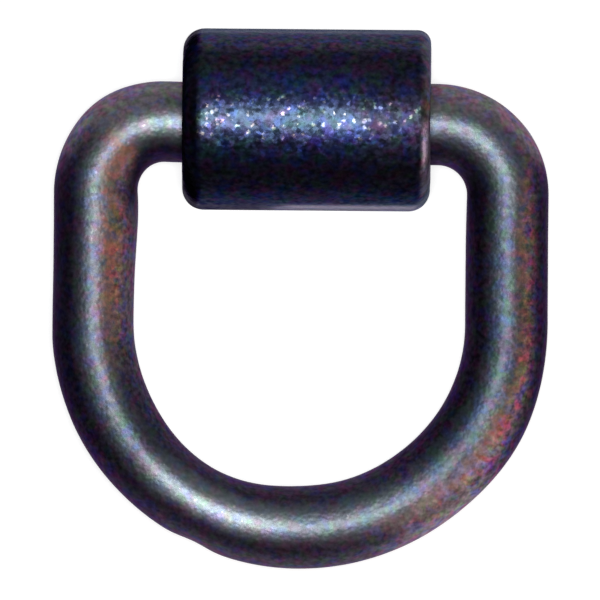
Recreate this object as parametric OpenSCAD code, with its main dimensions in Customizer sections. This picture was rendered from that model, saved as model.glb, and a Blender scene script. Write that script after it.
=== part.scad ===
// Weld-on D-ring: a forged ring whose straight bar swings under a forged saddle bracket.
// The bracket's feet stand on the deck plane, z = 0, with the bar along X. The ring lies flat towards -Y.

/* [Ring] */
// Diameter of the ring's round bar
wire_d = 19; // [13:0.5:26]
// Clear width between the ring's legs
eye_w = 77.5; // [62:0.5:110]
// Clear height from the straight bar to the bottom of the bow
eye_h = 75.5; // [60:0.5:110]
// Inside radius of the two bends beside the straight bar
bend_r = 7; // [3:0.5:9]

/* [Bracket] */
// Straight bar that stays bare between each end of the bracket and the bend beside it
bare_bar = 2.75; // [2:0.25:6]
// Thickness of the bracket's wall, the same round the crown and down the flanks
wall = 9.7; // [7:0.1:13]
// Radius of the rounding along the outer edges of both ends
end_round = 5.2; // [2:0.1:5.5]
// Radius of the rounding round both mouths of the channel
mouth_round = 1.5; // [0.5:0.5:2.5]
// Forging draft, which splays each flank from upright
draft = 5; // [2:1:8]
// Height and width of the bevel along the outer edge of each foot
foot_bevel = 1; // [0.4:0.2:2]

/* [Fit] */
// Radial play of the bar in the bracket's channel
channel_play = 1.2; // [0.6:0.1:2]
// Gap left to the front of the channel, towards which the ring is drawn
seat_gap = 0.3; // [0.1:0.05:0.5]
// How far the ring has slid to the left of the bracket's middle, along its bare bar
ring_aside = 1.1; // [0:0.1:2]

/* [Hidden] */
$fn = 96;
steel_grey = [0.33, 0.31, 0.33];
blue_black = [0.17, 0.18, 0.24];
wire_r = wire_d / 2;

// The ring's centre line: a straight bar, two tight bends, two legs and a half-round bow.
bend_line_r = bend_r + wire_r;
bow_line_r = eye_w / 2 + wire_r;
bow_drop = eye_h + wire_d - bow_line_r;
bar_l = eye_w - 2 * bend_r;
leg_l = bow_drop - bend_line_r;

// The bracket's channel is centred on the bar's height and a little behind the bar.
bracket_l = bar_l - 2 * bare_bar;
channel_r = wire_r + channel_play;
crown_r = channel_r + wall;
bar_back = channel_play - seat_gap;

// Length of flank that reaches the deck plane from where the crown ends.
flank_l = (wire_r + crown_r * sin(draft)) / cos(draft);
foot_half_w = crown_r * cos(draft) + (wire_r + crown_r * sin(draft)) * tan(draft);
overcut = 1;
crown_lap = 10;

// A round bar of length l, centred on the origin, along X.
module straight_bar(l) {
    rotate([0, 90, 0])
        cylinder(h = l, r = wire_r, center = true);
}

// A bent stretch of the round bar: its centre line turns about Z, from one angle through another.
module bent_bar(line_r, from, turn) {
    rotate_extrude(angle = turn, start = from)
        translate([line_r, 0])
            circle(r = wire_r);
}

// The bend beside the right-hand end of the straight bar.
module right_bend() {
    translate([bar_l / 2, -bend_line_r, 0])
        bent_bar(bend_line_r, 0, 90);
}

module right_leg() {
    translate([bow_line_r, -bend_line_r - leg_l / 2, 0])
        rotate([0, 0, 90])
            straight_bar(leg_l);
}

// The ring is one closed forging. It lies on the deck plane, slid a little to the left,
// and drawn to the front of the channel.
module d_ring() {
    color(steel_grey)
        translate([-ring_aside, -bar_back, wire_r])
            union() {
                straight_bar(bar_l);
                for (side = [0, 1])
                    mirror([side, 0, 0]) {
                        right_bend();
                        right_leg();
                    }
                translate([0, -bow_drop, 0])
                    bent_bar(bow_line_r, 180, 180);
            }
}

// The wall's cut section: x runs from the channel's axis outwards, y along the bracket.
// Its outer corners have the large end rounding and its inner ones the mouth rounding.
module wall_section() {
    difference() {
        translate([channel_r, -bracket_l / 2])
            square([wall, bracket_l]);
        for (end = [0, 1])
            mirror([0, end]) {
                translate([crown_r, bracket_l / 2])
                    sharp_corner(end_round);
                translate([channel_r, bracket_l / 2])
                    mirror([1, 0])
                        sharp_corner(mouth_round);
            }
    }
}
// What a rounding of radius r takes off a corner that lies at the origin and points to +x and +y.
module sharp_corner(r) {
    difference() {
        translate([-r, -r])
            square(r + overcut);
        translate([-r, -r])
            circle(r = r);
    }
}
// Half the saddle: the section carried straight up one splayed flank, then round the crown.
// It laps over the middle of the crown, where the other half lies on the same round surfaces.
module half_saddle() {
    rotate([0, 0, draft])
        union() {
            rotate_extrude(angle = 90 - draft + crown_lap)
                wall_section();
            rotate([90, 0, 0])
                linear_extrude(height = flank_l + overcut)
                    wall_section();
        }
}

// What is left of a foot's outer edge after its bevel, taken off by one long turned square.
module foot_edge() {
    translate([0, foot_half_w, 0])
        rotate([45, 0, 0])
            cube([bracket_l + 2 * overcut, foot_bevel * sqrt(2), foot_bevel * sqrt(2)], center = true);
}

module weld_bracket() {
    color(blue_black)
        difference() {
            translate([0, 0, wire_r])
                rotate([90, 0, 90])
                    union() {
                        half_saddle();
                        mirror([1, 0, 0])
                            half_saddle();
                    }
            translate([0, 0, -crown_r])
                cube([2 * eye_w, 4 * crown_r, 2 * crown_r], center = true);
            for (side = [0, 1])
                mirror([0, side, 0])
                    foot_edge();
        }
}

d_ring();
weld_bracket();
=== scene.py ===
# %% [markdown]
# # A weld-on D-ring
#
# Two steel forgings. A round bar is bent into a D and closed, and it swings by its straight side under a
# saddle-shaped bracket, whose two feet are welded to a trailer's deck. There is no third piece: no pin,
# no screw and no paint. What the eye reads is the steel's own skin, so this lesson spends its time there.
#
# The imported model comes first. It is the fixed frame: every size below is read from it, or is one of the
# forging's few radii that a box can't tell.

# %% The frame and its sizes
import math

import bpy
import numpy as np
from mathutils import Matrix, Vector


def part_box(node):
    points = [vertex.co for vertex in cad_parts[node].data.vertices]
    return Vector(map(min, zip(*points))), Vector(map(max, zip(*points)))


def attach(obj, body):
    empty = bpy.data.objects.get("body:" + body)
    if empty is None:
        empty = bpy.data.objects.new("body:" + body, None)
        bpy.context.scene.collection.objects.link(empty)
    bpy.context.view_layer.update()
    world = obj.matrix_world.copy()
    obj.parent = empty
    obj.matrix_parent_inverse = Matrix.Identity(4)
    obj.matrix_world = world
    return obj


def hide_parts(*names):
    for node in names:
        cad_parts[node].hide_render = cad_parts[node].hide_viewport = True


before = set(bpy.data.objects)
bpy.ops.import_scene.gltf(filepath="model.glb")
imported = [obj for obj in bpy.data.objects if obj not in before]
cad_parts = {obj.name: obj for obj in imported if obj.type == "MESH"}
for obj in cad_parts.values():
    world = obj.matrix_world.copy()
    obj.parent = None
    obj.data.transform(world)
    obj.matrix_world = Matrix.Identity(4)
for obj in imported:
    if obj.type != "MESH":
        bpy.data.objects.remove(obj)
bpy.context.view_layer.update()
MM = 0.001
ring_low, ring_high = (np.array(corner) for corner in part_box("d_ring"))
saddle_low, saddle_high = (np.array(corner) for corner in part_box("weld_bracket"))
print("ring, mm:", np.round((ring_high - ring_low) / MM, 2))
print("bracket, mm:", np.round((saddle_high - saddle_low) / MM, 2))

# %% [markdown]
# ## The radii behind the boxes
#
# A bar that is bent flat is as high as it is thick, so the ring's height gives the bar's radius. Its width
# gives the radius of the half-round bow, and its length the drop from the bar to the bow's centre. Only
# the two tight bends need a number of their own. The bracket is a bent wall, so its height gives the
# outside radius of its crown. Its wall, roundings, draft and weld bevel are numbers of their own too.

# %% The ring's and the bracket's leading sizes
BEND_INSIDE = 7 * MM
WALL = 9.7 * MM
END_ROUND = 5.2 * MM
MOUTH_ROUND = 1.5 * MM
FOOT_BEVEL = 1.0 * MM
DRAFT = math.radians(5)

bar_r = (ring_high[2] - ring_low[2]) / 2
bow_r = (ring_high[0] - ring_low[0]) / 2 - bar_r
bend_r = BEND_INSIDE + bar_r
ring_x = (ring_high[0] + ring_low[0]) / 2
bar_y = ring_high[1] - bar_r
bow_y = ring_low[1] + bar_r + bow_r
half_bar = bow_r - bend_r
leg = bar_y - bow_y - bend_r
crown_r = saddle_high[2] - bar_r
saddle_half = (saddle_high[0] - saddle_low[0]) / 2
print("bar radius, bow radius, leg, mm:", np.round(np.array([bar_r, bow_r, leg]) / MM, 2))

# %% [markdown]
# ## Noise that fits together everywhere
#
# A forging is never smooth: the die, the scale and the hammer leave it gently uneven. A modifier with a
# cloud texture could do this, but then the texture's size would hide in a menu. Here it is a formula: random
# values sit on the corners of a cube lattice, and a point takes a blend of its eight nearest. It depends
# only on where the point is, so it runs over every seam of a mesh without a step.

# %% Lattice noise
# The random values repeat after so many cells along each axis.
LATTICE = 64


def lattice_noise(points, size, seed):
    """Noise from -1 to 1. A point's place in its lattice cell gives a weight for each of the cell's eight
    corners, eased by 6t^5 - 15t^4 + 10t^3, and the result is the weighted mean of their random values."""
    table = np.random.default_rng(seed).uniform(-1, 1, (LATTICE, LATTICE, LATTICE))
    cell = np.floor(points / size)
    t = points / size - cell
    ease = t ** 3 * (t * (6 * t - 15) + 10)
    total = np.zeros(len(points))
    for corner in np.ndindex(2, 2, 2):
        weight = np.where(corner, ease, 1 - ease).prod(axis=1)
        total += weight * table[tuple((cell.astype(int) + corner).T % LATTICE)]
    return total


def eased(value, low, high):
    """0 below low, 1 above high, and 3t^2 - 2t^3 between them."""
    t = np.clip((value - low) / (high - low), 0, 1)
    return t * t * (3 - 2 * t)


print("random values of the noise:", LATTICE ** 3)

# %% [markdown]
# ## From arrays to a mesh
#
# Both pieces are grids of points that close on themselves. One helper joins neighbouring points by quads,
# another fills a Blender mesh in one go with foreach_set. The volume is a free check: it comes out negative
# when the faces point inwards, and it should come close to what the CAD says.

# %% Faces and the volume they enclose
def ring_of_quads(index):
    """Quads over a grid of vertex numbers: each number with its neighbours in the next row and column."""
    corners = (index[:-1, :-1], index[1:, :-1], index[1:, 1:], index[:-1, 1:])
    return np.stack(corners, axis=-1).reshape(-1, 4)


def enclosed_volume(points, quads):
    """A sixth of the sum of a . (b x c) over the two triangles of every quad."""
    a, b, c, d = (points[quads[:, k]] for k in range(4))
    triple = (a * np.cross(b, c)).sum(axis=1) + (a * np.cross(c, d)).sum(axis=1)
    return triple.sum() / 6


# %% A forging from its points and faces
# An edge whose faces turn by more than this is shaded sharp.
SHARP_TURN = math.radians(42)


def forging(name, points, quads, body, node, shares):
    """A piece that stands for a CAD node, from its points and quads. Each of its shares, such as how far
    a point is rubbed bright, is stored in the mesh as an attribute of that name."""
    if enclosed_volume(points, quads) < 0:
        quads = quads[:, ::-1]
    mesh = bpy.data.meshes.new(name)
    mesh.vertices.add(len(points))
    mesh.vertices.foreach_set("co", points.ravel())
    mesh.loops.add(quads.size)
    mesh.loops.foreach_set("vertex_index", quads.ravel().astype(np.int32))
    mesh.polygons.add(len(quads))
    mesh.polygons.foreach_set("loop_start", np.arange(0, quads.size, 4, dtype=np.int32))
    mesh.update(calc_edges=True)
    mesh.validate()
    for share, values in shares.items():
        attribute = mesh.attributes.new(share, "FLOAT", "POINT")
        attribute.data.foreach_set("value", np.clip(values, 0, 1).astype(np.float32))
    mesh.shade_smooth()
    mesh.set_sharp_from_angle(angle=SHARP_TURN)
    piece = bpy.data.objects.new(name, mesh)
    bpy.context.scene.collection.objects.link(piece)
    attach(piece, body)
    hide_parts(node)
    volume = enclosed_volume(points, quads) / MM ** 3
    print(f"{name}: {len(points)} points, {2 * len(quads)} triangles, {volume:.0f} mm3")
    return piece


# %% [markdown]
# ## The ring
#
# The smith heats a 19 mm bar, bends it round a former and closes it. Its centre line is four straight
# stretches and three arcs, all in one plane. A Blender curve with a round bevel would give the tube, but its
# skin would be perfect. Instead the heading of the line is written as a broken line over the distance
# travelled, flat on a straight and sloping on a bend, and its running sum is the path. Circles round the
# path then make a grid that closes both ways.

# %% The ring's centre line
def d_path(count):
    """Points evenly spaced along the D, and the outward direction at each. The heading is interpolated
    between the corners' distances, and the points are the running sum of its cosine and sine."""
    quarter = math.pi / 2
    stretches = [half_bar, quarter * bend_r, leg, 2 * quarter * bow_r, leg, quarter * bend_r, half_bar]
    turns = [0, -quarter, 0, -2 * quarter, 0, -quarter, 0]
    knots = np.concatenate([[0], np.cumsum(stretches)])
    headings = np.concatenate([[0], np.cumsum(turns)])
    fine = 50
    step = knots[-1] / (count * fine)
    middle = np.interp((np.arange(count * fine) + 0.5) * step, knots, headings)
    run = np.cumsum(np.stack([np.cos(middle), np.sin(middle)]), axis=1) * step
    start = np.array([[ring_x], [bar_y]])
    line = np.concatenate([start, start + run[:, fine - 1:-1:fine]], axis=1)
    along = np.arange(count) * knots[-1] / count
    heading = np.interp(along, knots, headings)
    return line.T, np.stack([-np.sin(heading), np.cos(heading)], axis=1), knots[-1]


RING_ALONG = 690
RING_ROUND = 140
centre_line, outward, line_length = d_path(RING_ALONG)
print(f"bar length along its centre line: {line_length / MM:.1f} mm")

# %% [markdown]
# ## The ring's skin
#
# Every point is first put on the perfect tube. Then it is pushed inwards by a slow waviness and a finer
# hammer-and-scale grain of less than a tenth of a millimetre. Bending a thick bar also upsets it: metal piles
# up on the inside of a bend and where the former's halves met, so the ring has a few broad lumps of half a
# millimetre or more, and hollows beside them. One short flat on the outside of the bow is where the ring
# was dropped. The CAD's box stays the limit for all of it.

# %% The perfect tube
around = np.arange(RING_ROUND) * 2 * math.pi / RING_ROUND
ring_normal = np.empty((RING_ALONG, RING_ROUND, 3))
ring_normal[..., :2] = np.cos(around)[None, :, None] * outward[:, None, :]
ring_normal[..., 2] = np.sin(around)
ring_centre = np.append(centre_line, np.full((RING_ALONG, 1), bar_r), axis=1)[:, None, :]
ring_points = (ring_centre + bar_r * ring_normal).reshape(-1, 3)
ring_normal = ring_normal.reshape(-1, 3)
facing_out = np.repeat(np.cos(around)[None, :], RING_ALONG, axis=0).ravel()

# %% Lumps and hollows
# Each row: the middle in mm, its reach in mm, the side it is on (1 outside, -1 inside), its height in mm.
LUMPS = (
    (-39.4, -21.5, 12, -1, 0.90),
    (-35.5, -10.5, 6, -1, -0.45),
    (37.5, -38.0, 26, -1, 0.45),
    (49.0, -74.0, 17, 1, 0.75),
    (20.0, -79.0, 19, -1, 0.55),
    (-22.5, -80.5, 15.5, -1, -0.95),
    (-1.0, -85.5, 9, -1, 0.45),
    (-50.0, -76.0, 16, 1, 0.40),
    (-49.5, 4.0, 11, 1, 0.60),
    (44.0, 9.0, 11, 1, -0.05),
    (-58.0, -54.0, 13, 1, 0.25),
)


def patch(points, middle, reach):
    """1 at the middle of a patch and fading as e to the minus square of the distance over the reach."""
    away = (points - np.array(middle) * MM) / (np.array(reach) * MM)
    return np.exp(-(away ** 2).sum(axis=1))


lump = np.zeros(len(ring_points))
for x, y, reach, side, height in LUMPS:
    spot = patch(ring_points[:, :2], (x, y), (reach, reach))
    lump += height * MM * spot * eased(side * facing_out, 0.1, 1.0)
print("lumps and hollows:", len(LUMPS))

# %% The flat, the waviness and the grain
# The flat lies on the bow's outside, at an angle from its lowest point. Its reach is in mm on each axis.
FLAT_ANGLE = math.radians(25.4)
FLAT_REACH = (4.6, 4.6, 4.2)
FLAT_DEPTH = 0.8 * MM
WAVE_DEPTH = 0.12 * MM
GRAIN_DEPTH = 0.035 * MM
flat_x = (ring_x - (bow_r + bar_r) * math.sin(FLAT_ANGLE)) / MM
flat_y = (bow_y - (bow_r + bar_r) * math.cos(FLAT_ANGLE)) / MM
flat = FLAT_DEPTH * patch(ring_points, (flat_x, flat_y, bar_r / MM + 1), FLAT_REACH)
waviness = 0.5 + 0.32 * lattice_noise(ring_points, 21 * MM, 1) + 0.18 * lattice_noise(ring_points, 9 * MM, 2)
grain = 0.5 + 0.3 * lattice_noise(ring_points, 2.9 * MM, 3) + 0.2 * lattice_noise(ring_points, 1.5 * MM, 4)
push = WAVE_DEPTH * waviness + GRAIN_DEPTH * grain + flat - lump
ring_points -= push[:, None] * ring_normal
ring_points = np.clip(ring_points, ring_low, ring_high)
print(f"deepest and highest, mm: {push.max() / MM:.2f} {-push.min() / MM:.2f}")

# %% [markdown]
# ## Wear and painted light as numbers on the mesh
#
# Lying flat, the ring is rubbed bright along its top, and along its underside where it slaps the deck. The
# bright top is also a painted highlight: its brightness along the bar is set to that of the highlight, most
# on the bow and least on the right leg, and it leans to where the highlight falls. A picture wrapped round
# the bar could hold this, but it would have to be unwrapped and painted. Instead each share, of wear or of
# painted light and shade, is a formula of where a point is and how its surface faces. It is stored in the
# mesh, and the material reads it there, so that the finish follows the shape and swings with the ring.

# %% Places on the ring
along = np.repeat(np.arange(RING_ALONG) * line_length / RING_ALONG / MM, RING_ROUND)
in_bow = eased(-ring_points[:, 1], 60 * MM, 90 * MM)
in_bends = eased(ring_points[:, 1], -20 * MM, -6 * MM)
right_half = eased(ring_points[:, 0], -10 * MM, 30 * MM)
far_right = eased(ring_points[:, 0], 20 * MM, 45 * MM)
ragged = 0.05 * lattice_noise(ring_points, 6 * MM, 5) + 0.03 * lattice_noise(ring_points, 2.5 * MM, 6)
print("shares of the ring in its bow and its bends:", np.round([in_bow.mean(), in_bends.mean()], 2))


def band(middle, reach, beside, width):
    """A soft spot on the upper side of the bar: its middle and reach in mm along the bar, and its place
    and width across the bar, as shares of the radius. It fades as patch does."""
    away = ((along - middle) / reach) ** 2 + ((facing_out - beside) / width) ** 2
    return np.exp(-away) * eased(ring_normal[:, 2], -0.3, 0.2)


# %% The rubbed top and its painted highlight
# How bright the top is, at distances in mm along the bar, clockwise from the middle of its straight side.
# It is partly wear and partly a painted highlight.
RUB_AND_HIGHLIGHT_AT = (0, 44, 56, 66, 118, 132, 146, 162, 178, 192, 206, 220, 246, 270, 282, 291, 325)
RUB_AND_HIGHLIGHT_BY = (
    0.46, 0.46, 0.2, 0.07, 0.04, 0.14, 0.36, 0.39, 0.94, 0.84, 0.12, 0.14, 0.2, 0.28, 0.34, 0.75, 0.75
)
# The bright stripe, a painted highlight, leans a little to the inside of the ring, in degrees, and more so
# on the bow.
HIGHLIGHT_LEAN = 3
BOW_HIGHLIGHT_LEAN = 5
highlight_tilt = np.radians(HIGHLIGHT_LEAN + BOW_HIGHLIGHT_LEAN * in_bow)
ring_height = np.abs(ring_normal[:, 2]) * np.cos(highlight_tilt) - facing_out * np.sin(highlight_tilt)
ring_rub_and_highlight = eased(ring_height + ragged, 0.78, 0.985)
ring_shine = np.interp(along, RUB_AND_HIGHLIGHT_AT, RUB_AND_HIGHLIGHT_BY)
# The top of the painted highlight, where the painted glints go.
ring_glint_crest = eased(ring_height, 0.94, 0.99) * ring_shine
print(f"share of the ring that is rubbed: {ring_rub_and_highlight.mean():.2f}")

# %% [markdown]
# ## The tone of the scale, with painted light and shade
#
# The sides keep their forging scale, whose tone goes from black, 0, over purple to pale ash, 1. The tone
# also carries painted shade and light: the sides that face left are painted the blackest, and the outward
# side of the right leg darker. The rear of the bends and the inside of the left leg are painted pale, and
# the outside of the bow a little paler than its inside: painted light. Two spots in the left bend are darker.

# %% The scale's tone, with painted light and shade
# Each row: the middle of a spot in mm, its reach in mm along x, y and z, and what it adds.
TONE_SPOTS = (
    # The first spot paints the inside of the left leg paler, where it faces the right-hand lamp: painted
    # light.
    (-41, -36, 10, 6, 22, 11, 0.5),
    (-37, -9, 8, 7, 7, 8, -0.3),
    (-39.5, -13.0, 14, 3.5, 5, 5, -0.4),
)


def spots(points, rows):
    """The sum of one patch for each row, times the row's last number."""
    return sum(row[6] * patch(points, row[:3], row[3:6]) for row in rows)


# The base tone; the rear-facing sides of the bends are painted paler: painted light.
ring_tone_light_and_shade = 0.42 + 0.5 * eased(ring_normal[:, 1], 0.05, 0.45) * in_bends + 0.1 * in_bow
ring_tone_light_and_shade += spots(ring_points, TONE_SPOTS)
# The outward side of the right leg is painted darker: painted shade.
ring_tone_light_and_shade -= 0.36 * eased(ring_normal[:, 0], 0.5, 0.8) * (1 - in_bends) * far_right
# The sides that face left are painted nearly black: painted shade.
to_left = eased(-ring_normal[:, 0] + ragged, 0.3, 0.75) * (1 - 0.8 * in_bends)
ring_tone_light_and_shade *= 1 - (0.95 - 0.25 * right_half) * to_left
# The outside of the bow is painted paler: painted light.
ring_tone_light_and_shade += 0.25 * in_bow * eased(facing_out, 0.6, 0.95)
print(f"tone of the scale, mean: {ring_tone_light_and_shade.mean():.2f}")

# %% [markdown]
# ## Bare steel, painted light and rust
#
# Where the right of the bow has been dragged over stones, the steel is bare on top and round the outside;
# its pink is also a painted reflection of the right-hand lamp. The rear of the bends is painted half bare:
# painted light. Rust starts where water stands: in drifts on the inside of the left leg and the outside of
# the right, at the end of the straight side, and around the bare stretch.

# %% The ring's bare steel and painted light, its rust and its piece
# Each row: the middle of a rust drift in mm, its reach in mm along x, y and z, and its strength.
RUST = (
    (-44.9, -30.0, 18.4, 2.9, 24, 4.5, 0.80),
    (-41.9, -8.3, 18.0, 2.2, 2.4, 3, 1.2),
    (50.9, -31.0, 18.3, 2.0, 25, 4, 0.55),
    (29.5, 6.0, 13.0, 2.5, 4, 6, 0.50),
)
# Bare steel on the right of the bow, also a painted reflection of the right-hand lamp.
ring_bare = 1.15 * band(126, 16, 0.40 + ragged, 0.19)
ring_bare += 0.85 * band(133, 11, 1.05, 0.9) * eased(facing_out + ragged, 0.5, 0.85)
# The rear-facing sides of the bends: painted light.
ring_bare += 0.42 * eased(ring_normal[:, 1] + 2 * ragged, 0.15, 0.6) * in_bends
ring_rust = spots(ring_points, RUST) + (0.75 * band(109, 14, 0.40, 0.20) + 0.4 * band(130, 12, 0.45, 0.25))
ring_shares = {
    "rub_and_highlight": ring_rub_and_highlight, "shine": ring_shine, "glint_crest": ring_glint_crest,
    "tone": ring_tone_light_and_shade, "bare": ring_bare, "rust": ring_rust,
}
ring_index = np.arange(RING_ALONG * RING_ROUND).reshape(RING_ALONG, RING_ROUND)
ring_quads = ring_of_quads(np.pad(ring_index, ((0, 1), (0, 1)), mode="wrap"))
d_ring = forging("forged_ring", ring_points, ring_quads, "ring", "d_ring", ring_shares)

# %% [markdown]
# ## The bracket
#
# The saddle is drop forged: a thick wall goes up one splayed flank, round the crown and down the other
# flank. Its cut section is a rectangle with large roundings on the outside, where the die left them, and
# small ones round the channel's mouths. So the outside and the channel are one closed loop of points,
# carried along a path, and each foot is closed by a flat patch between the loop's two long sides.

# %% The wall's section
# Points along each long side, round a large corner, and across the flat of an end.
SIDE_POINTS = 137
CORNER_POINTS = 17
FACE_POINTS = 10


def wall_loop():
    """The section's closed loop as distances from the channel's axis, places along the bracket, and the
    two parts of its normal. An end runs round the large rounding, across the end and into the mouth."""
    turn = np.linspace(0, math.pi / 2, CORNER_POINTS)
    across = np.linspace(crown_r - END_ROUND, crown_r - WALL + MOUTH_ROUND, FACE_POINTS)[1:-1]
    small = turn[::2]
    out = [np.cos(turn), 0 * across, -np.sin(small)]
    side = [np.sin(turn), 0 * across + 1, np.cos(small)]
    radius = [crown_r - END_ROUND * (1 - out[0]), across, crown_r - WALL + MOUTH_ROUND * (1 + out[2])]
    place = [
        saddle_half - END_ROUND * (1 - side[0]),
        0 * across + saddle_half,
        saddle_half - MOUTH_ROUND * (1 - side[2]),
    ]
    end = np.array([np.concatenate(part) for part in (radius, place, out, side)])
    top = end[:, [0]] * np.ones(SIDE_POINTS)
    top[1] = np.linspace(-end[1, 0], end[1, 0], SIDE_POINTS)
    low = end[:, [-1]] * np.ones(SIDE_POINTS)
    low[1] = np.linspace(end[1, -1], -end[1, -1], SIDE_POINTS)
    mirrored = end[:, ::-1] * np.array([[1], [-1], [1], [-1]])
    return np.concatenate([top, end[:, 1:-1], low, mirrored[:, 1:-1]], axis=1), end.shape[1]


loop, end_points = wall_loop()
loop_r, loop_x, loop_out, loop_side = loop
print("points round the wall's section:", loop.shape[1])

# %% [markdown]
# ## Up a flank, round the crown and down
#
# A flank leans out by the forging draft of five degrees, so that the forging comes out of its die. The
# distance down a flank to the deck is longer for the outside of the wall than for the channel, and at the
# foot's outer edge it ends at a small bevel, the place of the weld. The die was worn sharper at the right:
# there the large rounding is crisper, all over the crown and down the rear flank.

# %% The bracket's path
FLANK_ROWS = 32
CROWN_ROWS = 172
RIGHT_ROUND = 3.2 * MM


def flank_length(radius):
    """Distance down the flank, from the end of the crown to the deck or to the 45 degree bevel."""
    foot_half = crown_r * math.cos(DRAFT) + (bar_r + crown_r * math.sin(DRAFT)) * math.tan(DRAFT)
    to_deck = (bar_r + radius * math.sin(DRAFT)) / math.cos(DRAFT)
    lean = math.cos(DRAFT) + math.sin(DRAFT)
    to_bevel = (bar_r + radius * (math.sin(DRAFT) - math.cos(DRAFT)) + foot_half - FOOT_BEVEL) / lean
    return np.minimum(to_deck, to_bevel)


def saddle_surface(angle, down, radius, place):
    """Points of the bracket: out from the channel's axis by the radius at the angle, then down the lean of
    the flank. Angles past a quarter turn are the front, towards the ring."""
    front = np.sign(math.pi / 2 - angle)
    y = radius * np.cos(angle) + down * math.sin(DRAFT) * front
    z = bar_r + radius * np.sin(angle) - down * math.cos(DRAFT)
    return np.stack([place + 0 * y, y, z], axis=-1)


flank_share = np.linspace(1, 0, FLANK_ROWS, endpoint=False)
crown_angle = np.linspace(math.pi - DRAFT, DRAFT, CROWN_ROWS)
row_angle = np.concatenate([np.full(FLANK_ROWS, crown_angle[0]), crown_angle, np.full(FLANK_ROWS, DRAFT)])
row_share = np.concatenate([flank_share, np.zeros(CROWN_ROWS), flank_share[::-1]])
# How far the right-hand corner stands out. It comes in over the first third of the crown, from the front.
crisp = (END_ROUND - RIGHT_ROUND) * eased(np.cos(row_angle), -0.95, -0.5)[:, None]
on_right = (loop_out > 0) & (loop_x > 0)
sideways = np.where(loop_side > 0, 1 - loop_side, loop_x / (saddle_half - END_ROUND))
row_r = loop_r + crisp * np.where(on_right, 1 - loop_out, 0)
row_x = loop_x + crisp * np.where(on_right, sideways, 0)
row_down = row_share[:, None] * flank_length(row_r)
wall_points = saddle_surface(row_angle[:, None], row_down, row_r, row_x)
wall_normal = np.stack([
    loop_side[None, :] + 0 * row_down,
    loop_out[None, :] * np.cos(row_angle)[:, None],
    loop_out[None, :] * np.sin(row_angle)[:, None],
], axis=-1)
print("rows along the bracket's path:", len(row_angle))

# %% [markdown]
# ## The bracket's skin
#
# The bracket's scale is coarser than the ring's: close to, it looks like cast iron, with pits about a
# millimetre apart that glitter in the light. The pits are in the mesh itself. The right end is a little
# lower than the rest, where the die was worn. Near the feet the push fades out, so they stand flat.

# %% Swells, pits and the worn end
SWELL_DEPTH = 0.12 * MM
PIT_DEPTH = 0.07 * MM
WORN_DEPTH = 0.3 * MM
flat_wall = wall_points.reshape(-1, 3)
flat_normal = wall_normal.reshape(-1, 3)
swell = 0.5 + 0.3 * lattice_noise(flat_wall, 17 * MM, 11) + 0.2 * lattice_noise(flat_wall, 7 * MM, 12)
pits = 0.5 + 0.25 * lattice_noise(flat_wall, 2.6 * MM, 13) + 0.25 * lattice_noise(flat_wall, 1.15 * MM, 14)
worn_end = eased(flat_wall[:, 0], saddle_half - 14 * MM, saddle_half - 3 * MM)
push = SWELL_DEPTH * swell + PIT_DEPTH * pits
push += WORN_DEPTH * worn_end * eased(flat_wall[:, 2], 15 * MM, 24 * MM)
push *= eased(flat_wall[:, 2], 0.4 * MM, 3.5 * MM)
flat_wall -= push[:, None] * flat_normal
print(f"deepest, mm: {push.max() / MM:.2f}")

# %% [markdown]
# ## The feet
#
# The wall ends in the deck plane on both sides. Each foot is closed by a grid of points in that plane,
# between the outside of the wall and the channel, so that the bracket is one closed skin.

# %% The bracket's faces and feet
rows, columns = row_down.shape
wall_index = np.arange(rows * columns).reshape(rows, columns)
saddle_quads = [ring_of_quads(np.pad(wall_index, ((0, 0), (0, 1)), mode="wrap"))]
saddle_points = [flat_wall]


def foot_patch(edge_row, angle, first_new):
    """A grid over a foot. Its first row is the loop's outer side and its last row the channel's. Between
    them every row runs straight from one end's point to the other's. New points are numbered onwards."""
    index = np.empty((end_points, SIDE_POINTS), dtype=int)
    index[0] = edge_row[:SIDE_POINTS]
    index[1:-1, -1] = edge_row[SIDE_POINTS:SIDE_POINTS + end_points - 2]
    index[-1] = edge_row[SIDE_POINTS + end_points - 2:][:SIDE_POINTS][::-1]
    index[1:-1, 0] = edge_row[2 * SIDE_POINTS + end_points - 2:][::-1]
    fresh = (end_points - 2) * (SIDE_POINTS - 2)
    index[1:-1, 1:-1] = first_new + np.arange(fresh).reshape(end_points - 2, SIDE_POINTS - 2)
    radius = loop_r[SIDE_POINTS:SIDE_POINTS + end_points - 2][:, None]
    reach = loop_x[SIDE_POINTS:SIDE_POINTS + end_points - 2][:, None]
    place = reach * np.linspace(-1, 1, SIDE_POINTS)[None, 1:-1]
    points = saddle_surface(np.float64(angle), flank_length(radius) + 0 * place, radius + 0 * place, place)
    return points.reshape(-1, 3), ring_of_quads(index)


for edge, angle, flip in ((0, math.pi - DRAFT, False), (-1, DRAFT, True)):
    first_new = sum(len(part) for part in saddle_points)
    points, quads = foot_patch(wall_index[edge], angle, first_new)
    saddle_points.append(points)
    saddle_quads.append(quads[:, ::-1] if flip else quads)
saddle_points = np.concatenate(saddle_points)
saddle_quads = np.concatenate(saddle_quads)
print("points and faces of the bracket:", len(saddle_points), len(saddle_quads))

# %% [markdown]
# ## Where the bracket is rubbed, and its painted light and shade
#
# A saddle is rubbed on its crown, which is also painted with the highlight, least at its right end, where
# the scale is thicker and the highlight is painted dimmer. Its crest, the line that a dragged chain touches,
# has painted glints, and the highlight's core is painted a greyer blue than what lies beside it. The left
# end is painted nearly black: painted shade.

# %% The rubbed crown, its painted highlight and shade
x, y, z = saddle_points.T
end_noise = 2 * MM * lattice_noise(saddle_points, 5 * MM, 15)
# The right end: thicker scale, and the highlight painted dimmer: painted shade.
scaly_and_dim_end = eased(x + end_noise, 11.5 * MM, 15.5 * MM)
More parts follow.
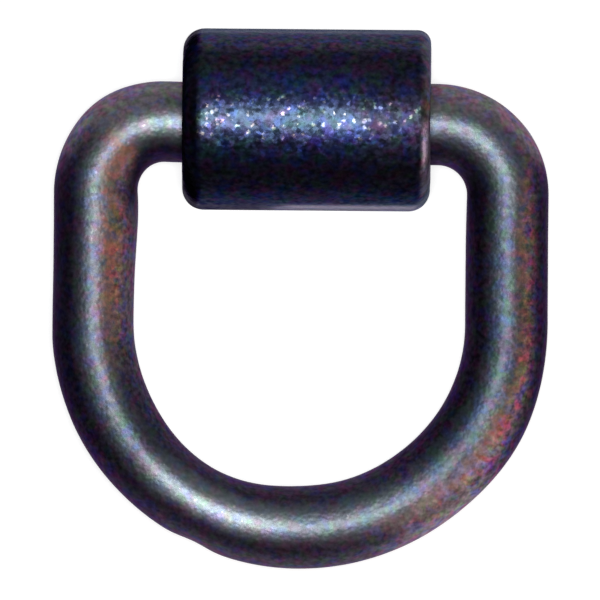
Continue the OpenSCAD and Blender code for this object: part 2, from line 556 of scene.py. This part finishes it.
# The left end, painted nearly black: painted shade.
saddle_left_shade = eased(-x, 24.2 * MM, 26 * MM)
saddle_rub_and_highlight = eased(z, 25 * MM, 28.6 * MM) * (1 - 0.7 * scaly_and_dim_end) * (1 - saddle_left_shade)
saddle_glint_crest = eased(z, 28.9 * MM, 29.5 * MM) * (1 - 0.5 * scaly_and_dim_end) * (1 - saddle_left_shade)
# The core of the painted highlight, painted greyer.
saddle_highlight_core = 1 - eased(np.abs(y), 1.2 * MM, 4.2 * MM)
print(f"share of the bracket that is rubbed: {saddle_rub_and_highlight.mean():.2f}")

# %% [markdown]
# ## Its edges, its painted light and its rust
#
# The long front rim is worn to the bare steel and painted as a bright reflection of the floor, apart from
# its left half, which is painted dark. The edge of the right end is half bare and painted with the
# reflection of the right-hand lamp, with a spot of rust on it. The rear slope is painted lighter, and the
# front one a trace lighter: painted light, grey as bare steel is, so it uses the same share.

# %% The bracket's other shares and its piece
# The rust spot: its middle and its reach, in mm along x, y and z.
RUST_MIDDLE = (28, 3.5, 27)
RUST_REACH = (4, 3, 6)
to_left_end = eased(-x + end_noise, 0, 14 * MM)
# The front rim: bare steel and a painted reflection, painted darker towards the left end.
front_edge = eased(-y / MM - 1.0 * to_left_end, 19.6, 20.85) * (1 - 0.75 * to_left_end)
front_edge *= 0.4 + 0.6 * eased(z, 4 * MM, 10 * MM)
# The right end's edge: partly bare, partly a painted reflection of the right-hand lamp.
right_edge = eased(x, 26.0 * MM, 27.2 * MM) * eased(z, 14 * MM, 20 * MM)
right_edge *= 0.4 + 0.6 * eased(-y, -1 * MM, 2 * MM)
# Painted light on the rear slope, and a trace on the front one.
rear_sheen = eased(y, 14.5 * MM, 17.5 * MM) * (1 - eased(y, 20 * MM, 20.7 * MM))
front_sheen = eased(-y, 16 * MM, 19 * MM)
saddle_bare = np.maximum(front_edge, 0.5 * right_edge)
saddle_bare += (0.11 * rear_sheen + 0.03 * front_sheen) * (1 - saddle_left_shade)
# The left half of the front rim, painted dark: painted shade.
left_rim_shade = 0.75 * to_left_end * eased(-y, 19.2 * MM, 20.8 * MM)
saddle_rust = 0.7 * eased(x, 26.4 * MM, 27.6 * MM) * patch(saddle_points, RUST_MIDDLE, RUST_REACH)
saddle_shares = {
    "rub_and_highlight": saddle_rub_and_highlight, "glint_crest": saddle_glint_crest, "highlight_core": saddle_highlight_core,
    "bare": saddle_bare, "rust": saddle_rust, "left_shade": np.maximum(saddle_left_shade, left_rim_shade),
}
weld_saddle = forging(
    "forged_saddle", saddle_points, saddle_quads, "bracket", "weld_bracket", saddle_shares
)

# %% [markdown]
# ## Node groups for steel as it leaves the forge
#
# Four effects are shared by both steels, so each is built once as a node group. The forge grain gives a
# height for a Bump node. The temper mottle tints a colour in soft blotches, as heat does, and makes it
# lighter and darker in finer ones. The worn scale breaks up the edge between two finishes. The painted
# glints are a few bright cells of colour, put where the highlight lies. The groups put out only heights,
# masks and colours; the shader and its gloss stay in the material.

# %% Helpers: a group and a node
def group(name, inputs, outputs):
    """A shader node group with float, colour or vector sockets, and its two end nodes."""
    tree = bpy.data.node_groups.new(name, "ShaderNodeTree")
    kinds = {"f": "NodeSocketFloat", "c": "NodeSocketColor", "v": "NodeSocketVector"}
    for label, kind in inputs.items():
        tree.interface.new_socket(label, in_out="INPUT", socket_type=kinds[kind])
    for label, kind in outputs.items():
        tree.interface.new_socket(label, in_out="OUTPUT", socket_type=kinds[kind])
    return tree, tree.nodes.new("NodeGroupInput").outputs, tree.nodes.new("NodeGroupOutput").inputs


def add(tree, kind, settings=(), **inputs):
    """A node with its settings made, and its inputs linked or given a value. Words are socket names, with
    _ for a space; a name that ends in a number is that socket's place."""
    node = tree.nodes.new(kind)
    for key, value in dict(settings).items():
        setattr(node, key, value)
    for key, value in inputs.items():
        tail = key.rpartition("_")[2]
        socket = node.inputs[int(tail)] if tail.isdigit() else node.inputs[key.replace("_", " ")]
        if isinstance(value, bpy.types.NodeSocket):
            tree.links.new(value, socket)
        else:
            socket.default_value = value
    return node


# %% Helpers: the nodes used most
def noise(tree, vector, scale, detail=2.0, roughness=0.5, distortion=0.0):
    """Blender's own noise at so many cells a metre, centred on one half."""
    return add(tree, "ShaderNodeTexNoise", Vector=vector, Scale=scale, Detail=detail,
               Roughness=roughness, Distortion=distortion).outputs["Fac"]


def between(tree, value, low, high, to_low=0.0, to_high=1.0):
    """A value from low to high brought to another range, and held at its ends."""
    return add(tree, "ShaderNodeMapRange", Value=value, From_Min=low, From_Max=high,
               To_Min=to_low, To_Max=to_high).outputs["Result"]


def math_node(tree, operation, first, second):
    """Two numbers added, multiplied and so on."""
    return add(tree, "ShaderNodeMath", {"operation": operation}, i_0=first, i_1=second).outputs[0]


def vector_math(tree, operation, first, second):
    """Two vectors added, multiplied and so on, axis by axis."""
    return add(tree, "ShaderNodeVectorMath", {"operation": operation}, i_0=first, i_1=second).outputs[0]


def blended(tree, share, first, second, blend_type="MIX"):
    """Colour first, or second where the share is one."""
    node = add(tree, "ShaderNodeMix", {"data_type": "RGBA", "blend_type": blend_type},
               i_0=share, i_6=first, i_7=second)
    return node.outputs[2]


# %% The forge grain
def forge_grain():
    """Height: coarse lumps, with domed pits on them as a share of the whole."""
    tree, given, result = group("Forge grain", {"Vector": "v", "Cells": "f", "Pits": "f"}, {"Height": "f"})
    lumps = noise(tree, given["Vector"], given["Cells"], 1.0, 0.5)
    fine = math_node(tree, "MULTIPLY", given["Cells"], 1.9)
    pits = add(tree, "ShaderNodeTexVoronoi", {"feature": "SMOOTH_F1"}, Vector=given["Vector"], Scale=fine,
               Smoothness=0.35).outputs["Distance"]
    weighed = math_node(tree, "MULTIPLY", pits, given["Pits"])
    tree.links.new(math_node(tree, "SUBTRACT", lumps, weighed), result["Height"])
    return tree


# %% The temper mottle
# What the blotches multiply a colour by: rose, blue and green.
TEMPER = ((1.9, 0.6, 1.05, 1), (0.6, 0.85, 2.1, 1), (0.7, 1.5, 0.6, 1))


def temper_mottle():
    """A colour times soft blotches of rose, blue and green, each where its own noise is high, and times a
    finer tone, from less than 1 to more than 1."""
    tree, given, result = group(
        "Temper mottle", {"Vector": "v", "Color": "c", "Cells": "f", "Amount": "f"}, {"Color": "c"}
    )
    colour = given["Color"]
    for shift, tint in enumerate(TEMPER):
        moved = vector_math(tree, "ADD", given["Vector"], (0.37 * shift, 0.19 * shift, 0.0))
        blotch = between(tree, noise(tree, moved, given["Cells"], 1.2, 0.5, 0.3), 0.48, 0.66)
        strength = math_node(tree, "MULTIPLY", blotch, given["Amount"])
        colour = blended(tree, strength, colour, tint, "MULTIPLY")
    fine = noise(tree, given["Vector"], math_node(tree, "MULTIPLY", given["Cells"], 2.3), 1.5, 0.5)
    deep = math_node(tree, "MULTIPLY", given["Amount"], 0.65)
    darkest = math_node(tree, "SUBTRACT", 1.0, deep)
    lightest = math_node(tree, "ADD", 1.0, deep)
    tone = between(tree, fine, 0.3, 0.7, darkest, lightest)
    tree.links.new(blended(tree, 1.0, colour, tone, "MULTIPLY"), result["Color"])
    return tree


# %% The worn scale
def worn_scale():
    """Mask: a share from 0 to 1, made larger or smaller by noise, so that it breaks up but adds nothing
    where the share is 0."""
    tree, given, result = group(
        "Worn scale", {"Vector": "v", "Share": "f", "Cells": "f", "Ragged": "f"}, {"Mask": "f"}
    )
    patchy = math_node(tree, "SUBTRACT", noise(tree, given["Vector"], given["Cells"], 3.0, 0.6), 0.5)
    gain = math_node(tree, "ADD", math_node(tree, "MULTIPLY", patchy, given["Ragged"]), 1.0)
    broken = math_node(tree, "MULTIPLY", gain, given["Share"])
    tree.links.new(between(tree, broken, 0.0, 1.0), result["Mask"])
    return tree


# %% The bright flecks
# Painted glints: the cells picked here are given a bright colour on the top of the highlight.
def painted_glints():
    """Mask: a few cells of a Voronoi pattern, the more so the further their random value is above a limit.
    A fine noise bends the pattern first, so that the cells have no straight sides."""
    tree, given, result = group(
        "Painted glints", {"Vector": "v", "Share": "f", "Cells": "f", "Limit": "f"}, {"Mask": "f"}
    )
    waves = add(tree, "ShaderNodeTexNoise", Vector=given["Vector"], Scale=1500.0, Detail=1.0).outputs["Color"]
    bend = vector_math(tree, "MULTIPLY", waves, (1.1 * MM, 1.1 * MM, 1.1 * MM))
    place = vector_math(tree, "ADD", given["Vector"], bend)
    cell = add(tree, "ShaderNodeTexVoronoi", {"feature": "F1"}, Vector=place, Scale=given["Cells"]).outputs
    value = add(tree, "ShaderNodeSeparateColor", i_0=cell["Color"]).outputs[0]
    lucky = between(tree, value, given["Limit"], 1.0)
    middle = between(tree, cell["Distance"], 0.15, 0.5, 1.0, 0.0)
    mask = math_node(tree, "MULTIPLY", math_node(tree, "MULTIPLY", lucky, middle), given["Share"])
    tree.links.new(mask, result["Mask"])
    return tree


# %% All four groups
GRAIN = forge_grain()
MOTTLE = temper_mottle()
SCALE = worn_scale()
GLINTS = painted_glints()
print("node groups:", [shared.name for shared in (GRAIN, MOTTLE, SCALE, GLINTS)])


def use(tree, shared, **inputs):
    """A shared group placed in a tree, with its inputs given. The result is its only output."""
    return add(tree, "ShaderNodeGroup", {"node_tree": shared}, **inputs).outputs[0]


# %% [markdown]
# ## The ring's steel
#
# The ring is a satin grey where it is rubbed, with a painted highlight on its top, and purplish, almost
# black scale on its sides, painted darker where they are in shade. A pinkish grey shows where it is bare,
# and also stands for painted light. Brown oxide lies in soft drifts, with a few patches of orange rust in
# the sheltered corners. Metal this rough has no sharp reflections, so the roughness is high, and the dark
# tint at grazing angles keeps its sides from mirroring the pale floor.

# %% The ring's material
# The scale goes from black, painted where it is in shade, over purple to ash, painted where it is lit, and
# the top, partly rubbed and partly a painted highlight, from dull to bright.
SCALE_IN_SHADE = (0.007, 0.007, 0.012, 1)
PURPLE = (0.036, 0.027, 0.052, 1)
ASH_AND_LIGHT = (0.090, 0.084, 0.098, 1)
DULL_TOP = (0.031, 0.041, 0.051, 1)
BRIGHT_TOP = (0.150, 0.172, 0.186, 1)
# Bare steel, also used for painted light and a painted reflection.
BARE_STEEL_AND_SHEEN = (0.270, 0.225, 0.250, 1)
BROWN_RUST = (0.150, 0.072, 0.054, 1)
# A painted glint.
GREY_GLINT = (0.30, 0.31, 0.32, 1)


def new_material(name):
    """A material with its tree, its shader and the Object coordinates that its patterns read."""
    material = bpy.data.materials.new(name)
    material.use_nodes = True
    tree = material.node_tree
    place = tree.nodes.new("ShaderNodeTexCoord").outputs["Object"]
    return material, tree, tree.nodes["Principled BSDF"], place


def share(tree, name):
    """One of the shares that the mesh carries."""
    return add(tree, "ShaderNodeAttribute", {"attribute_name": name}).outputs["Fac"]


def ring_steel():
    """Scale by its tone, with painted shade and light, the rubbed top by its shine, partly a painted
    highlight, and over them bare steel with painted light, rust and painted glints. The mottle is strongest
    in the scale and weakest where the steel is bright."""
    material, tree, shader, place = new_material("Ring steel")
    rubbed_and_highlit = use(tree, SCALE, Vector=place, Share=share(tree, "rub_and_highlight"), Cells=420.0, Ragged=1.0)
    rusty = use(tree, SCALE, Vector=place, Share=share(tree, "rust"), Cells=400.0, Ragged=5.0)
    bare = use(tree, SCALE, Vector=place, Share=share(tree, "bare"), Cells=330.0, Ragged=2.0)
    # Painted glints along the top of the highlight.
    glints = use(tree, GLINTS, Vector=place, Share=share(tree, "glint_crest"), Cells=1100.0, Limit=0.84)
    tone = share(tree, "tone")
    shine = share(tree, "shine")
    scale = blended(tree, between(tree, tone, 0, 0.4), SCALE_IN_SHADE, PURPLE)
    scale = blended(tree, between(tree, tone, 0.4, 1), scale, ASH_AND_LIGHT)
    # The rubbed top, which is also a painted highlight.
    metal = blended(tree, rubbed_and_highlit, scale, blended(tree, shine, DULL_TOP, BRIGHT_TOP))
    metal = blended(tree, bare, metal, BARE_STEEL_AND_SHEEN)
    metal = blended(tree, rusty, metal, BROWN_RUST)
    metal = blended(tree, glints, metal, GREY_GLINT)
    in_scale = between(tree, rubbed_and_highlit, 0, 0.8, 0.9, 0.42)
    in_dull = between(tree, shine, 0.05, 0.4, 1, 0.6)
    amount = math_node(tree, "MULTIPLY", in_scale, in_dull)
    amount = math_node(tree, "MULTIPLY", amount, between(tree, bare, 0, 1, 1, 0.5))
    colour = use(tree, MOTTLE, Vector=place, Color=metal, Cells=360.0, Amount=amount)
    tree.links.new(colour, shader.inputs["Base Color"])
    tree.links.new(between(tree, rusty, 0, 1, 1.0, 0.55), shader.inputs["Metallic"])
    tree.links.new(between(tree, rubbed_and_highlit, 0, 1, 0.52, 0.45), shader.inputs["Roughness"])
    height = use(tree, GRAIN, Vector=place, Cells=560.0, Pits=0.5)
    bump = add(tree, "ShaderNodeBump", Strength=1.0, Distance=0.07 * MM, Height=height)
    tree.links.new(bump.outputs["Normal"], shader.inputs["Normal"])
    shader.inputs["Specular IOR Level"].default_value = 0.25
    shader.inputs["Specular Tint"].default_value = (0.6, 0.5, 0.68, 1)
    print(f"{material.name}: {len(tree.nodes)} nodes")
    return material


d_ring.data.materials.append(ring_steel())

# %% [markdown]
# ## The bracket's steel
#
# The bracket is blue-black all over. Its crown shows the same scale rubbed thin and painted with the
# highlight, with a coarse glitter: the pits' walls are small flat faces, each tilted its own way. A Voronoi
# pattern gives every cell one random colour, and that colour, taken as a small tilt of the normal, makes
# such faces.

# %% The bracket's material
# The scale and its painted shade at the left end, the same scale rubbed thin and painted with the highlight
# and its greyer core, a painted glint, edge wear with painted reflection and light, and rust.
BLACK_SCALE = (0.0165, 0.0140, 0.0240, 1)
LEFT_SHADE_BLACK = (0.008, 0.008, 0.013, 1)
THIN_SCALE_AND_HIGHLIGHT = (0.024, 0.032, 0.080, 1)
HIGHLIGHT_CORE = (0.025, 0.037, 0.060, 1)
# A painted glint.
BLUE_GLINT = (0.25, 0.26, 0.29, 1)
WORN_EDGE_AND_SHEEN = (0.20, 0.165, 0.23, 1)
EDGE_RUST = (0.10, 0.06, 0.05, 1)
# What the steel's reflections are tinted with at grazing angles.
SCALE_GLOSS = (0.42, 0.47, 0.61, 1)
# Darker where the left end is painted in shade.
LEFT_SHADE_GLOSS = (0.22, 0.17, 0.30, 1)
EDGE_GLOSS = (0.88, 0.85, 1.0, 1)


def glitter_facets(tree, place, cells, tilt):
    """The surface's normal, tilted in every Voronoi cell by that cell's own random direction."""
    cell = add(tree, "ShaderNodeTexVoronoi", {"feature": "SMOOTH_F1"}, Vector=place, Scale=cells,
               Smoothness=0.4).outputs["Color"]
    centred = vector_math(tree, "SUBTRACT", cell, (0.5, 0.5, 0.5))
    small = vector_math(tree, "MULTIPLY", centred, (tilt, tilt, tilt))
    straight = tree.nodes.new("ShaderNodeNewGeometry").outputs["Normal"]
    return vector_math(tree, "ADD", straight, small)


def saddle_steel():
    """Scale and its painted shade, the same scale rubbed thin with its painted highlight, and over them
    painted glints, worn edges with painted reflection and light, and rust.
    """
    material, tree, shader, place = new_material("Bracket steel")
    rubbed_and_highlit = use(tree, SCALE, Vector=place, Share=share(tree, "rub_and_highlight"), Cells=500.0, Ragged=1.0)
    bare = use(tree, SCALE, Vector=place, Share=share(tree, "bare"), Cells=500.0, Ragged=1.5)
    rusty = use(tree, SCALE, Vector=place, Share=share(tree, "rust"), Cells=500.0, Ragged=3.0)
    # Painted glints along the top of the highlight.
    glints = use(tree, GLINTS, Vector=place, Share=share(tree, "glint_crest"), Cells=850.0, Limit=0.64)
    # Black scale, painted blacker at the left end: painted shade.
    scale = blended(tree, share(tree, "left_shade"), BLACK_SCALE, LEFT_SHADE_BLACK)
    thin_and_highlit = blended(tree, share(tree, "highlight_core"), THIN_SCALE_AND_HIGHLIGHT, HIGHLIGHT_CORE)
    metal = blended(tree, rubbed_and_highlit, scale, thin_and_highlit)
    metal = blended(tree, glints, metal, BLUE_GLINT)
    metal = blended(tree, bare, metal, WORN_EDGE_AND_SHEEN)
    metal = blended(tree, rusty, metal, EDGE_RUST)
    amount = between(tree, share(tree, "glint_crest"), 0, 0.8, 0.8, 0.34)
    amount = math_node(tree, "MULTIPLY", amount, between(tree, bare, 0.1, 0.5, 1.0, 0.25))
    colour = use(tree, MOTTLE, Vector=place, Color=metal, Cells=330.0, Amount=amount)
    tree.links.new(colour, shader.inputs["Base Color"])
    tree.links.new(between(tree, rubbed_and_highlit, 0, 1, 0.46, 0.37), shader.inputs["Roughness"])
    height = use(tree, GRAIN, Vector=place, Cells=480.0, Pits=0.4)
    facets = glitter_facets(tree, place, 950.0, 0.15)
    bump = add(tree, "ShaderNodeBump", Strength=1.0, Distance=0.09 * MM, Height=height, Normal=facets)
    tree.links.new(bump.outputs["Normal"], shader.inputs["Normal"])
    gloss = blended(tree, share(tree, "left_shade"), SCALE_GLOSS, LEFT_SHADE_GLOSS)
    gloss = blended(tree, share(tree, "bare"), gloss, EDGE_GLOSS)
    tree.links.new(gloss, shader.inputs["Specular Tint"])
    shader.inputs["Metallic"].default_value = 1.0
    print(f"{material.name}: {len(tree.nodes)} nodes")
    return material


weld_saddle.data.materials.append(saddle_steel())

# %% [markdown]
# ## The floor
#
# The object lies on a white sweep. The floor's white is made of two parts: a steady glow that only the
# camera and reflections see, so it is never a lamp for the steel, and a pale diffuse part that takes the
# lamps' light and keeps the object's soft shadow.

# %% Floor
FLOOR_HALF = 3.0
FLOOR_GREY = 0.34
FLOOR_GLOW = 0.72


def floor_material():
    """A diffuse grey with a glow for what the camera sees, straight or in a reflection."""
    material = bpy.data.materials.new("White sweep")
    material.use_nodes = True
    tree = material.node_tree
    shader = tree.nodes["Principled BSDF"]
    shader.inputs["Base Color"].default_value = (FLOOR_GREY, FLOOR_GREY, FLOOR_GREY, 1)
    shader.inputs["Roughness"].default_value = 1.0
    shader.inputs["Specular IOR Level"].default_value = 0.0
    path = tree.nodes.new("ShaderNodeLightPath").outputs
    seen = math_node(tree, "MAXIMUM", path["Is Camera Ray"], path["Is Glossy Ray"])
    seen = math_node(tree, "MAXIMUM", seen, path["Is Transmission Ray"])
    shader.inputs["Emission Color"].default_value = (1, 1, 1, 1)
    tree.links.new(math_node(tree, "MULTIPLY", seen, FLOOR_GLOW), shader.inputs["Emission Strength"])
    return material


floor_mesh = bpy.data.meshes.new("floor")
corners = FLOOR_HALF * np.array([[-1, -1, 0], [1, -1, 0], [1, 1, 0], [-1, 1, 0]])
floor_mesh.from_pydata(corners.tolist(), [], [[0, 1, 2, 3]])
floor = bpy.data.objects.new("floor", floor_mesh)
bpy.context.scene.collection.objects.link(floor)
floor_mesh.materials.append(floor_material())
print("floor, m:", 2 * FLOOR_HALF)

# %% [markdown]
# ## Light
#
# The highlight runs exactly along the top of every round, so the main light stands where the camera does:
# a round softbox straight above. A warm, weaker light from the right colours the right-hand sides. The
# world's own light is cold, faint in front of the object and stronger behind it, where it draws the rear
# sides. Each lamp's power follows from its distance: a white card under a lamp of power pi squared times
# the distance squared would just be white.

# %% Lamps and world
# The middle of the picture, and the height that the lamps are turned to.
VIEW_X = -1.18 * MM
VIEW_Y = -42.15 * MM
AIM_Z = 10 * MM
# The strength of the world's light.
SKY_IN_FRONT = 0.06
SKY_BEHIND = 0.5


def turned_to(offset):
    """The turn that points an object's own -Z against the offset."""
    across = math.hypot(offset[0], offset[1])
    return (math.atan2(across, offset[2]), 0, math.atan2(offset[1], offset[0]) + math.pi / 2)


def softbox(name, place, size, level, colour):
    """A round lamp at a place, turned to the middle of the view, that lights a card there to the level."""
    lamp = bpy.data.lights.new(name, "AREA")
    lamp.shape = "DISK"
    lamp.size = size
    offset = np.array(place) - np.array((VIEW_X, VIEW_Y, AIM_Z))
    lamp.energy = level * math.pi ** 2 * float(offset @ offset)
    lamp.color = colour
    lamp_object = bpy.data.objects.new(name, lamp)
    bpy.context.scene.collection.objects.link(lamp_object)
    lamp_object.location = place
    lamp_object.rotation_euler = turned_to(offset)
    lamp_object.visible_camera = False
    print(f"{name}: {lamp.energy:.1f} W")


softbox("top_light", (VIEW_X, VIEW_Y, 1.35), size=0.42, level=1.0, colour=(1.0, 1.0, 1.0))
softbox("right_light", (0.93, -0.46, 0.38), size=0.6, level=0.65, colour=(1.0, 0.82, 0.76))

world = bpy.data.worlds.new("studio")
bpy.context.scene.world = world
world.use_nodes = True
air = world.node_tree
heading = air.nodes.new("ShaderNodeTexCoord").outputs["Generated"]
apart = add(air, "ShaderNodeSeparateXYZ", i_0=heading).outputs
glow = add(air, "ShaderNodeMapRange", {"interpolation_type": "SMOOTHSTEP"}, Value=apart["Y"],
           From_Min=0.0, From_Max=0.95, To_Min=SKY_IN_FRONT, To_Max=SKY_BEHIND).outputs["Result"]
air.links.new(glow, air.nodes["Background"].inputs["Strength"])
air.nodes["Background"].inputs["Color"].default_value = (0.88, 0.92, 1.0, 1)

# %% [markdown]
# ## Camera
#
# The picture was taken from straight above through a long lens: no side of the ring shows more than
# another. The camera stands two and a half metres up, turned by half a degree.

# %% Camera
# The width that the picture covers at the bar's axis, and the camera's height above that axis.
VIEW_WIDTH = 139.9 * MM
VIEW_HEIGHT = 2.5
SENSOR = 36
ROLL = math.radians(0.5)
camera_data = bpy.data.cameras.new("camera")
camera_data.sensor_width = SENSOR
camera_data.lens = SENSOR * VIEW_HEIGHT / VIEW_WIDTH
camera_data.clip_start = 0.1
camera_data.clip_end = 20
camera = bpy.data.objects.new("camera", camera_data)
bpy.context.scene.collection.objects.link(camera)
camera.location = (VIEW_X, VIEW_Y, bar_r + VIEW_HEIGHT)
camera.rotation_euler = (0, 0, ROLL)
bpy.context.scene.camera = camera
bpy.context.scene.view_settings.view_transform = "Standard"
print(f"lens: {camera_data.lens:.0f} mm")
